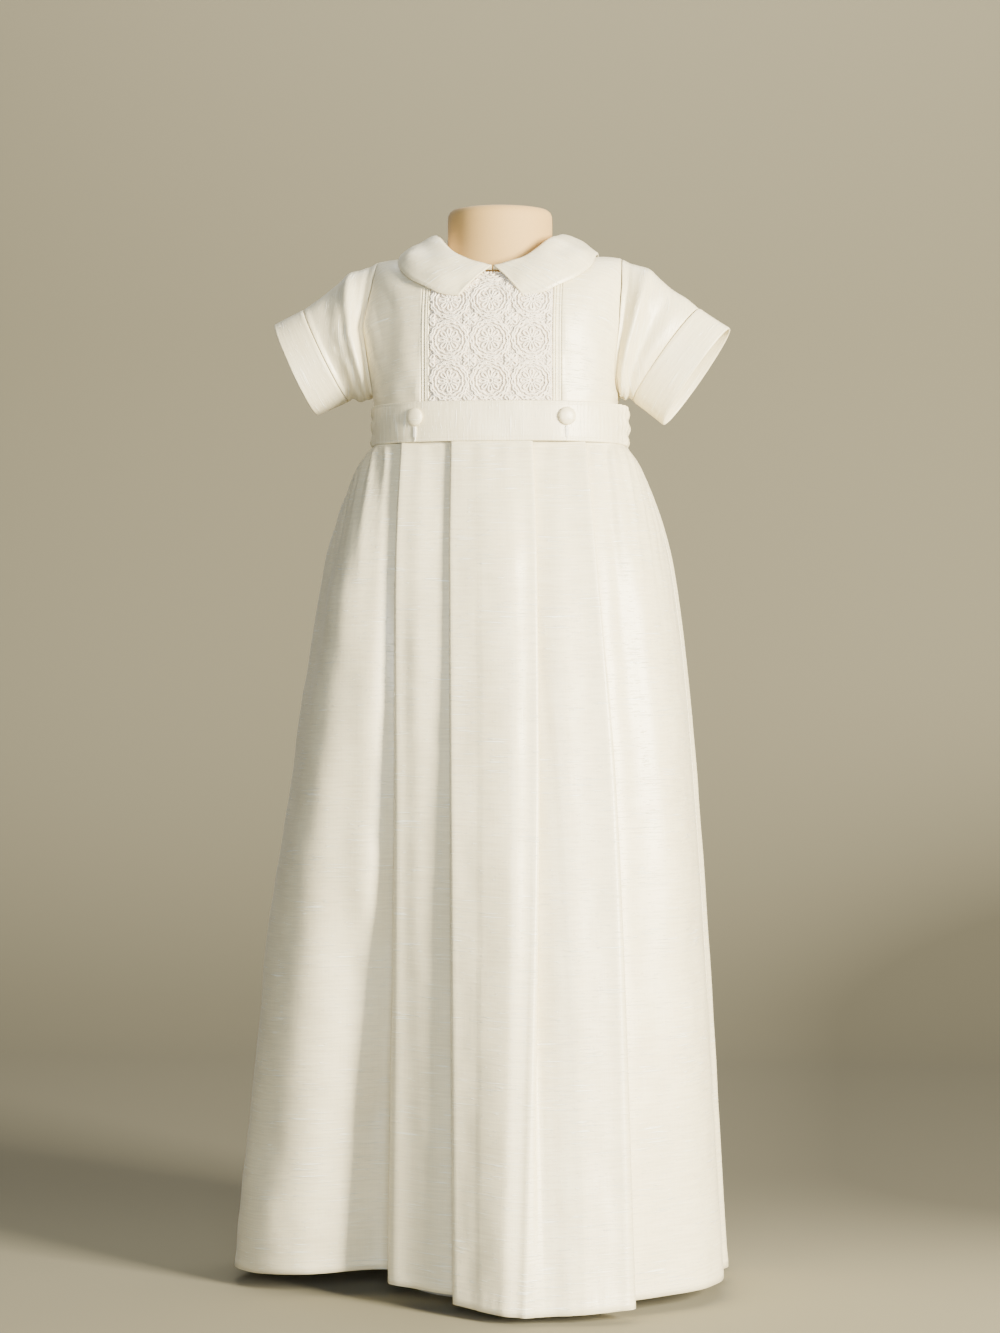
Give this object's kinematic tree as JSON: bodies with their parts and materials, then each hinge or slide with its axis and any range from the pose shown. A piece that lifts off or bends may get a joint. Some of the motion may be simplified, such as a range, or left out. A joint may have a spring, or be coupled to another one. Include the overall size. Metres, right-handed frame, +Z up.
{
  "type": "christening romper with long skirt on a child's dress form",
  "caption": "Short-sleeved ivory christening romper with lace front and pointed collar, worn with its long pleated button-on skirt by a limbless child's dress form.",
  "frame": {"origin": "centre of the stand base's flat underside, on the floor", "axes": "+Z up along the form's pole; the garment's front faces -Y; the wearer's left arm is towards +X"},
  "size_m": [0.3472, 0.3061, 0.75],
  "materials": {
    "shantung": "soft satin sheen with fine crosswise slubs",
    "lace": "matt corded relief",
    "buttons": "cloth-covered, soft sheen",
    "form_jersey": "smooth matt knit",
    "stand_metal": "satin off-white paint"
  },
  "bodies": {
    "root": {"form_body": "form_jersey", "stand_pole": "stand_metal", "stand_base": "stand_metal", "bodice_front_left": "shantung", "bodice_front_right": "shantung", "tuck_strip_left": "shantung", "tuck_strip_right": "shantung", "lace_panel": "lace", "bodice_back_left": "shantung", "bodice_back_right": "shantung", "collar_left": "shantung", "collar_right": "shantung", "sleeve_left": "shantung", "sleeve_right": "shantung", "cuff_left": "shantung", "cuff_right": "shantung", "romper_waistband": "shantung", "romper_lower_front": "shantung", "romper_lower_back": "shantung", "skirt_waistband": "shantung", "skirt_front": "shantung", "skirt_back_left": "shantung", "skirt_back_right": "shantung", "button_left": "buttons", "button_right": "buttons", "back_button_1": "buttons", "back_button_2": "buttons", "back_button_3": "buttons"}
  },
  "joints": []
}
